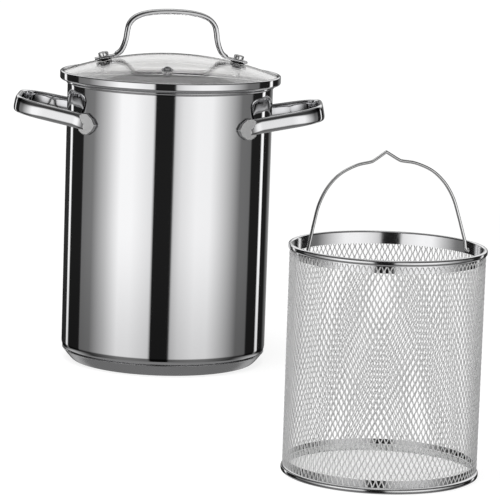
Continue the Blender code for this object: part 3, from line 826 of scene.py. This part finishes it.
def makeSideHandle(name, node, turn):
    h = sideHandle
    outer, length, thickness = pot["outerRadius"], h["padLength"], h["thickness"]
    tilt = math.radians(h["tilt"])
    lean = math.cos(tilt)
    padAngle = math.radians(h["padAngle"])
    innerFace = math.sqrt(outer ** 2 - (length / 2) ** 2)
    outerFace = innerFace + h["padThickness"]
    padOut = Vector((math.cos(padAngle), math.sin(padAngle)))
    padAlong = Vector((-math.sin(padAngle), math.cos(padAngle)))
    seam = padOut * (outerFace - h["padStep"] - thickness / 2) - padAlong * length / 2
    tail = seam + padAlong * length / h["tailPart"]
    seam.x /= lean
    tail.x /= lean
    endX = (outer + h["reach"] - thickness / 2) / lean
    corners = [tuple(tail), tuple(seam), (endX, h["endHalf"]), (endX, -h["endHalf"]),
               (seam[0], -seam[1]), (tail[0], -tail[1])]
    route = roundedRoute(corners, (h["bend"], h["loopCorner"], h["loopCorner"], h["bend"]), steps=16)
    around = turned(turn, "Z")
    middle = Matrix.Translation((0, 0, h["height"] - outer * math.tan(tilt)))
    place = around @ middle @ turned(-h["tilt"], "Y")
    handle = barAlong(name, route, crownedSection(thickness, h["width"], h["fullness"]), place)

    upper = [(x * length, y * h["padHeight"] / 2) for x, y in h["padShares"]]
    outline = upper + [(x, -y) for x, y in reversed(upper[:-1])]
    padHeight = h["height"] - (outer - innerFace * math.cos(padAngle)) * math.tan(tilt)
    padFaces = []
    for side in (1, -1):
        angle = side * padAngle
        along = Vector((-math.sin(angle), math.cos(angle), 0)) * side
        out = Vector((math.cos(angle), math.sin(angle), 0))
        up = Vector((0, 0, 1))
        spot = Matrix((along, up, along.cross(up))).transposed().to_4x4()
        spot.translation = out * (innerFace + h["padThickness"] / 2) - along * length / 2 + up * padHeight
        pad = padPlate(name + "Pad", around @ spot, outline, h["padThickness"], h["padBevel"])
        padFaces.append(around @ out)
        cutOrJoined(handle, pad, "UNION")
    wall = rod(outer + pot["gap"], h["height"] - h["padHeight"], h["height"] + h["padHeight"],
               Matrix.Identity(4), sides=360)
    cutOrJoined(handle, wall, "DIFFERENCE", solver="MANIFOLD")
    closeSeams(handle)
    smoothed(handle, degrees=32)
    flatsKept(handle)
    dressed(handle, "handleSteel", "pot", "polished_steel", node)

    def padFace(face):
        # the pads' flat outer faces are ground satin after welding
        return any(face.normal.dot(out) > h["satinSquare"]
                   and abs(face.center.dot(out) - outerFace) < h["satinNear"] for out in padFaces)

    secondFinish(handle, "padSteel", padFace)


makeSideHandle("sideHandleRight", "handle_right", 0)
makeSideHandle("sideHandleLeft", "handle_left", 180)
print("side handles modelled")


# Lid

rimLow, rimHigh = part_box("lid_rim")
lid = {
    "gap": 0.0003,
    "underGlass": 0.00045,
    "rimHeight": 0.0068,
    "rimWall": 0.0007,
    "rimLip": 0.0024,
    "rimRound": 0.0010,
    "rimFoot": 0.0017,
    "fineRound": 0.45,          # share of the rim's wall
    "skirtPlay": 0.0010,
    "glassGap": 0.0004,
    "glassRise": 0.0156,
    "glassThickness": 0.0044,
    "glassSteps": 26,
    "domePower": 2.0,
    "drill": (-0.009, 0.004),   # how deep and how high the glass's holes are cut
}
lid["seat"] = potHigh.z + lid["gap"]
lid["rimRadius"] = rimHigh.x
lid["glassRadius"] = lid["rimRadius"] - lid["rimWall"] - lid["glassGap"]
lid["glassEdge"] = lid["seat"] + lid["rimWall"] + lid["glassGap"] + lid["glassThickness"]

lidHandle = {
    "turn": 5.6,
    "rise": 0.0354,
    "span": 0.1046,
    "width": 0.0100,
    "thickness": 0.0040,
    "fullness": 5.0,
    "footThickness": 0.0020,
    "footLength": 0.0150,
    "footOverhang": 0.0072,
    "press": (0.0030, 0.0018, 0.0006),   # where behind the heel each step of the pressing starts
    "pressHeight": 0.65,                 # the pressed part's height over the heel, as a share of the strap
    "drill": (-0.004, 0.006),
    "shares": ((0.780, 0.075), (0.730, 0.182), (0.690, 0.36), (0.670, 0.55), (0.645, 0.70),
               (0.578, 0.83), (0.472, 0.915), (0.326, 0.968), (0.163, 0.992), (0.0, 1.0)),
}

fastener = {
    "shank": 0.0020,
    "tip": 0.0006,
    "head": 0.0040,
    "headHeight": 0.0031,
    "headRound": 0.0008,
    "headFlat": 0.55,           # share of the head's radius
    "headTurn": (84, 0),
    "flange": 0.0058,
    "flangeHeight": 0.0006,
    "sleeve": 0.0007,
    "seal": 0.0058,
    "sealHeight": 0.0010,
    "washer": 0.0052,
    "washerHeight": 0.0008,
    "nut": 0.0040,
    "nutHeight": 0.0028,
    "ease": 0.00018,
}

vent = {
    "turn": -91.0,
    "reach": 0.0585,
    "hole": 0.0014,
    "barrel": 0.0024,
    "collar": 0.0028,
    "collarHeight": 0.0022,
    "collarRound": 0.0005,
    "flange": 0.0047,
    "flangeHeight": 0.0007,
    "foot": 0.0040,
    "ease": 0.0003,
    "fineEase": 0.0002,
}


def domeHeight(radius):
    return lid["glassEdge"] + lid["glassRise"] * (1 - (radius / lid["glassRadius"]) ** lid["domePower"])


def domeSlope(radius):
    power, share = lid["domePower"], radius / lid["glassRadius"]
    return math.atan(power * lid["glassRise"] / lid["glassRadius"] * share ** (power - 1))


def glassPlace(degrees, radius):
    # a place on the glass; Z leaves the glass squarely
    return (turned(degrees, "Z") @ Matrix.Translation((radius, 0, domeHeight(radius)))
            @ Matrix.Rotation(domeSlope(radius), 4, "Y"))


def footPlace(side):
    return glassPlace(lidHandle["turn"] + (0 if side > 0 else 180), lidHandle["span"] / 2)


def glassDepth(radius):
    # how far under the glass's top its lower face lies, measured squarely
    return lid["glassThickness"] * math.cos(domeSlope(radius))


def makeLidGlass():
    g, f = lid, fastener
    radii = [i / g["glassSteps"] * g["glassRadius"] for i in range(g["glassSteps"] + 1)]
    upper = [(r, domeHeight(r)) for r in radii]
    lower = [(r, z - g["glassThickness"]) for r, z in upper]
    glass = spunPiece("lidGlass", upper + lower[::-1])
    boltHole = f["shank"] + g["gap"] + f["sleeve"] + g["gap"]
    ventHole = vent["barrel"] + g["gap"]
    for radius, place in ((boltHole, footPlace(-1)), (boltHole, footPlace(1)),
                          (ventHole, glassPlace(vent["turn"], vent["reach"]))):
        cutOrJoined(glass, rod(radius, *g["drill"], place), "DIFFERENCE")
    closeSeams(glass)
    smoothed(glass, degrees=35)
    dressed(glass, "clearGlass", "lid", "clear_glass", "lid_glass")


def makeLidRim():
    g = lid
    outer, wall, bottom = g["rimRadius"], g["rimWall"], g["seat"]
    top, low, floor, edge = bottom + g["rimHeight"], rimLow.z, bottom + wall, outer - g["rimLip"]
    skirtOuter = pot["innerRadius"] - g["skirtPlay"]
    skirtInner = skirtOuter - wall
    fine = wall * g["fineRound"]
    corners = [(edge, top - wall, 0), (edge, top, fine), (outer, top, g["rimRound"]),
               (outer, bottom, g["rimFoot"]), (skirtOuter, bottom, fine), (skirtOuter, low, fine),
               (skirtInner, low, fine), (skirtInner, floor, fine), (outer - wall, floor, fine),
               (outer - wall, top - wall, fine)]
    rim = spunPiece("lidRimBand", softCorners(corners, steps=7), closed=True)
    smoothed(rim)
    dressed(rim, "mirrorSteel", "lid", "polished_steel", "lid_rim")


def footStack():
    # heights above the glass: top of the bush's flange, middle and top of the strap
    flangeTop = lid["gap"] + fastener["flangeHeight"]
    middle = flangeTop + lid["gap"] + lidHandle["footThickness"] / 2
    return flangeTop, middle, middle + lidHandle["footThickness"] / 2


def pressFoot(strap, side, heel, slope):
    # the strap pressed thinner from its heel to its toe, in steps that soften the change
    h = lidHandle
    centre = (side * heel.x, heel.y, 0)
    squeeze = (h["footThickness"] / h["thickness"]) ** (1 / len(h["press"]))
    highest = heel.y + h["pressHeight"] * h["thickness"]
    for start in h["press"]:
        editChosen(strap, "VERT", lambda point: side * point.co.x > heel.x - start and point.co.y < highest)
        bpy.ops.transform.rotate(value=-side * slope, orient_axis="Z", center_override=centre)
        bpy.ops.transform.resize(value=(1, squeeze, 1), center_override=centre)
        bpy.ops.transform.rotate(value=side * slope, orient_axis="Z", center_override=centre)
        editDone()


def makeLidHandle():
    h = lidHandle
    half = h["span"] / 2
    slope = domeSlope(half)
    stand = footStack()[1]
    foot = Vector((half + stand * math.sin(slope), domeHeight(half) + stand * math.cos(slope)))
    along = Vector((math.cos(slope), -math.sin(slope)))
    toe = foot + along * h["footOverhang"]
    heel = foot - along * (h["footLength"] - h["footOverhang"])
    rising = [tuple(heel)] + [(x * half, heel[1] + y * h["rise"]) for x, y in h["shares"]]
    route = bothHalves([tuple(toe)] + flowThrough(rising, steps=6))
    section = crownedSection(h["thickness"], h["width"], h["fullness"])
    handle = barAlong("lidHandleStrap", route, section, Matrix.Identity(4))
    for side in (-1, 1):
        pressFoot(handle, side, heel, slope)
    putAt(handle, turned(h["turn"], "Z") @ turned(90, "X"))
    for side in (-1, 1):
        hole = rod(fastener["shank"] + lid["gap"], *h["drill"], footPlace(side), sides=32)
        cutOrJoined(handle, hole, "DIFFERENCE")
    closeSeams(handle)
    smoothed(handle, degrees=35)
    dressed(handle, "handleSteel", "lid", "polished_steel", "lid_handle")


def lidFitting(name, outline, place, finish, slot, node, steps=64, closed=True):
    # a small turned piece, made upright and then put where it sits on the glass
    piece = putAt(spunPiece(name, outline, steps=steps, closed=closed), place)
    smoothed(piece, degrees=35)
    dressed(piece, finish, "lid", slot, node)


def makeFasteners(side, word):
    f, gap, end = fastener, lid["gap"], word.lower()
    place = footPlace(side)
    flangeTop, _, strapTop = footStack()
    depth = glassDepth(lidHandle["span"] / 2)
    shank, ease, edge = f["shank"], f["ease"], f["headRound"]
    headLow = strapTop + gap
    headHigh = headLow + f["headHeight"]
    sealTop = -depth - lid["underGlass"]
    sealLow = sealTop - f["sealHeight"]
    washerTop = sealLow - gap
    washerLow = washerTop - f["washerHeight"]
    nutTop = washerLow - gap
    nutLow = nutTop - f["nutHeight"]
    hole = shank + gap
    sleeve = hole + f["sleeve"]

    def ring(outer, low, high):
        corners = ((outer, high), (outer, low), (hole, low), (hole, high))
        return softCorners([(*corner, ease) for corner in corners], steps=3)

    bolt = [(0, headHigh), (f["head"] * f["headFlat"], headHigh)]
    bolt += arcOf((f["head"] - edge, headHigh - edge), edge, *f["headTurn"], steps=8)
    bolt += [(f["head"], headLow + ease), (f["head"] - ease, headLow), (shank, headLow), (shank, nutLow)]
    bolt += [(shank - f["tip"], nutLow - f["tip"]), (0, nutLow - f["tip"])]
    bush = softCorners([(f["flange"], flangeTop, ease), (f["flange"], gap, ease), (sleeve, gap, 0),
                        (sleeve, -depth, ease), (hole, -depth, ease), (hole, flangeTop, ease)], steps=3)
    seal, washer = ring(f["seal"], sealLow, sealTop), ring(f["washer"], washerLow, washerTop)
    nut = ring(f["nut"], nutLow, nutTop)
    lidFitting("boltHead" + word, bolt, place, "softSteel", "polished_steel", "lid_bolt_" + end, closed=False)
    lidFitting("sealBush" + word, bush, place, "blackSilicone", "black_silicone", "seal_bush_" + end)
    lidFitting("sealRing" + word, seal, place, "blackSilicone", "black_silicone", "seal_washer_" + end)
    lidFitting("steelRing" + word, washer, place, "handleSteel", "polished_steel", "steel_washer_" + end)
    lidFitting("hexNut" + word, nut, place, "handleSteel", "polished_steel", "lid_nut_" + end, steps=6)


def makeSteamVent():
    v, low = vent, lid["gap"]
    under = -glassDepth(v["reach"]) - lid["underGlass"]
    foot = under - v["flangeHeight"]
    flangeTop, top = low + v["flangeHeight"], low + v["collarHeight"]
    ease, fine = v["ease"], v["fineEase"]
    corners = [(v["hole"], top, ease), (v["collar"], top, v["collarRound"]), (v["collar"], flangeTop, ease),
               (v["flange"], flangeTop, ease), (v["flange"], low, fine), (v["barrel"], low, 0),
               (v["barrel"], under, 0), (v["foot"], under, fine), (v["foot"], foot, ease),
               (v["hole"], foot, fine)]
    # the eyelet wears the darkened copy of the handle steel, whose colour is painted shade
    lidFitting("steamVentEyelet", softCorners(corners, steps=4), glassPlace(v["turn"], v["reach"]),
               "ventSteelPaintedShade", "polished_steel", "steam_vent")


makeLidGlass()
makeLidRim()
makeSteamVent()
makeLidHandle()
makeFasteners(-1, "Left")
makeFasteners(1, "Right")
print("lid modelled")


# Basket

hoopLow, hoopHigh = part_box("basket_rim")
basket = {
    "middle": ((hoopLow.x + hoopHigh.x) / 2, (hoopLow.y + hoopHigh.y) / 2),
    "radius": 0.0666,
    "height": hoopHigh.z,
    "bandHeight": 0.0087,
    "bandWall": 0.0006,
    "beadHeight": 0.0036,
    "beadWidth": 0.0031,
    "beadFullness": 3.0,
    "beadTurn": (90, -119, -8),   # first, last and step in degrees round the bead's outside
    "curl": 0.0012,               # radius where the band turns into the bead
    "curlTurn": (170, 100),
    "support": 0.0004,
    "tuck": 0.0003,               # the band's outside starts this far under the bead
    "pivotBelow": 0.0060,
    "holeRadius": 0.00145,
    "drill": (-0.003, 0.0015),    # the holes are cut from here to there, from the band's inside
    "bailTurn": 28.5,
}
basket["bandInner"] = basket["radius"] - basket["beadWidth"]


def pivotPlace():
    # the middle between the bail's two holes, turned to face them
    b = basket
    return Matrix.Translation((*b["middle"], b["height"] - b["pivotBelow"])) @ turned(b["bailTurn"], "Z")


def hoopOutline():
    b = basket
    half, curl, keep = b["beadHeight"] / 2, b["curl"], b["support"]
    middle = (b["radius"] - half, b["height"] - half)
    inner, outer = b["bandInner"], b["bandInner"] + b["bandWall"]
    top, low = b["height"], b["height"] - b["bandHeight"]
    outline = [(inner, low), (inner, low + keep), (inner, top - curl - keep), (inner, top - curl)]
    outline += arcOf((inner + curl, top - curl), curl, *b["curlTurn"], steps=7)
    for degrees in range(*b["beadTurn"]):
        a = math.radians(degrees)
        outline.append((middle[0] + half * bulge(math.cos(a), b["beadFullness"]),
                        middle[1] + half * bulge(math.sin(a), b["beadFullness"])))
    return outline + [(outer, top - b["beadHeight"] - b["tuck"]), (outer, low + keep), (outer, low)]


def makeHoops():
    b = basket
    outline = hoopOutline()
    upsideDown = [(r, b["height"] - z) for r, z in reversed(outline)]
    rim = spunPiece("basketRimHoop", outline, middle=b["middle"], closed=True)
    for side in (-1, 1):
        place = pivotPlace() @ turned(side * 90, "Y")
        hole = rod(b["holeRadius"], *[b["bandInner"] + end for end in b["drill"]], place, sides=24)
        cutOrJoined(rim, hole, "DIFFERENCE")
    closeSeams(rim)
    foot = spunPiece("basketFootHoop", upsideDown, middle=b["middle"], closed=True)
    for hoop, node in ((rim, "basket_rim"), (foot, "basket_foot_ring")):
        smoothed(hoop)
        dressed(hoop, "hoopSteel", "basket", "basket_steel", node)


net = {
    "columns": 106,          # openings round the wall
    "halfRows": 40,          # half openings up the wall
    "radius": 0.0652,
    "low": 0.0042,
    "high": 0.1505,
    "strand": 0.00090,       # width of one strand of the sheet
    "sheet": 0.00055,        # thickness of the sheet
    "bond": 0.0009,          # length where two strands stay joined
    "overlap": 0.00004,      # how far they reach into each other there
    "raise": 0.00022,        # how far the joints stand in and out
}


def makeNetStrands(name, flip, *nodes):
    # one upright strand that weaves left and right, copied all the way round
    n = net
    x, y = basket["middle"]
    step = (n["high"] - n["low"]) / n["halfRows"]
    spacing = 2 * math.pi * n["radius"] / (2 * n["columns"])
    swing = (spacing - n["strand"]) / 2 + n["overlap"]
    start = (x + n["radius"] - flip * n["raise"], y - flip * swing, n["low"])
    strand = added(bpy.ops.mesh.primitive_circle_add, name, vertices=6, radius=0.5, fill_type="NGON",
                   location=start)
    strand.scale = (n["sheet"], n["strand"], 1)
    setInPlace(strand)
    bpy.ops.object.mode_set(mode="EDIT")
    bpy.ops.mesh.select_mode(type="FACE")
    selectAll()
    side = flip
    for row in range(n["halfRows"]):
        across = (side * 2 * n["raise"], side * 2 * swing, step - n["bond"])
        for move in ((0, 0, n["bond"]), across):
            bpy.ops.mesh.extrude_region_move(TRANSFORM_OT_translate={"value": move})
        side = -side
    selectAll()
    bpy.ops.mesh.normals_make_consistent(inside=False)
    if flip < 0:
        # the second family stands half a space further round
        bpy.ops.transform.rotate(value=math.pi / n["columns"], orient_axis="Z", center_override=(x, y, 0))
    bpy.ops.mesh.spin(steps=n["columns"], angle=2 * math.pi, dupli=True, center=(x, y, 0), axis=(0, 0, 1))
    bpy.ops.mesh.select_mode(type="VERT")
    editDone()
    smoothed(strand, degrees=70)
    dressed(strand, "wireSteel", "basket", "mesh_wire", *nodes)


floorMesh = {
    "acrossShort": 0.0040,
    "acrossLong": 0.0073,
    "radius": 0.0627,
    "height": 0.0052,
    "strand": 0.0009,
    "flatness": 0.3,         # height of a bar as a share of its width
    "sides": 60,             # straight cuts that make it round
    "spare": 4,              # openings more than its radius needs
}


def makeFloorNet():
    n = floorMesh
    count = 2 * math.ceil(n["radius"] / n["acrossShort"]) + n["spare"]
    floorNet = added(bpy.ops.mesh.primitive_grid_add, "basketFloorNet", x_subdivisions=count,
                     y_subdivisions=count, size=count, location=(0, 0, 0))
    floorNet.rotation_euler = (0, 0, math.pi / 4)
    setInPlace(floorNet)
    floorNet.scale = (n["acrossLong"] / math.sqrt(2), n["acrossShort"] / math.sqrt(2), 1)
    setInPlace(floorNet)
    bpy.ops.object.mode_set(mode="EDIT")
    for i in range(n["sides"]):
        angle = 2 * math.pi * (i + 0.5) / n["sides"]
        out = (math.cos(angle), math.sin(angle), 0)
        selectAll()
        bpy.ops.mesh.bisect(plane_co=[n["radius"] * c for c in out], plane_no=out, clear_outer=True)
    editDone()
    bars = floorNet.modifiers.new("bars", "WIREFRAME")
    bars.thickness = n["strand"]
    bars.use_even_offset = True
    bars.use_boundary = True
    applied(floorNet, bars)
    floorNet.scale = (1, 1, n["flatness"])
    floorNet.location = (*basket["middle"], n["height"])
    setInPlace(floorNet)
    closeSeams(floorNet)
    smoothed(floorNet, degrees=30)
    dressed(floorNet, "wireSteel", "basket", "mesh_wire", "basket_floor")


bail = {
    "wire": 0.0011,
    "lean": 6.0,
    "height": 0.0684,
    "sidePlay": 0.0009,
    "hookBend": 0.00165,
    "shares": ((0.990, 0.088), (0.951, 0.215), (0.914, 0.336), (0.849, 0.515), (0.741, 0.673),
               (0.585, 0.798), (0.378, 0.878), (0.200, 0.906), (0.150, 0.923), (0.080, 0.958), (0.0, 1.0)),
}


def makeBail():
    b = bail
    halfSpan = basket["bandInner"] - b["wire"] - b["sidePlay"]
    end = basket["bandInner"] + basket["bandWall"]
    rising = [(x * halfSpan, y * b["height"]) for x, y in b["shares"]]
    hook = roundedRoute([(end, 0), (halfSpan, 0), rising[0]], (b["hookBend"],), steps=8)
    route = bothHalves(hook[:-1] + flowThrough(rising, steps=8))
    place = pivotPlace() @ turned(90 - b["lean"], "X")
    wire = wireAlong("basketBailWire", route, b["wire"], place)
    smoothed(wire)
    dressed(wire, "softSteel", "bail", "basket_steel", "basket_bail")


makeHoops()
makeNetStrands("basketNetOdd", 1, "basket_wall")
makeNetStrands("basketNetEven", -1)
makeFloorNet()
makeBail()
print("basket modelled")

# the polished pot mirrors the plain room, without the basket beside it
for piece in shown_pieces():
    if piece.name.startswith("basket"):
        piece.visible_glossy = False
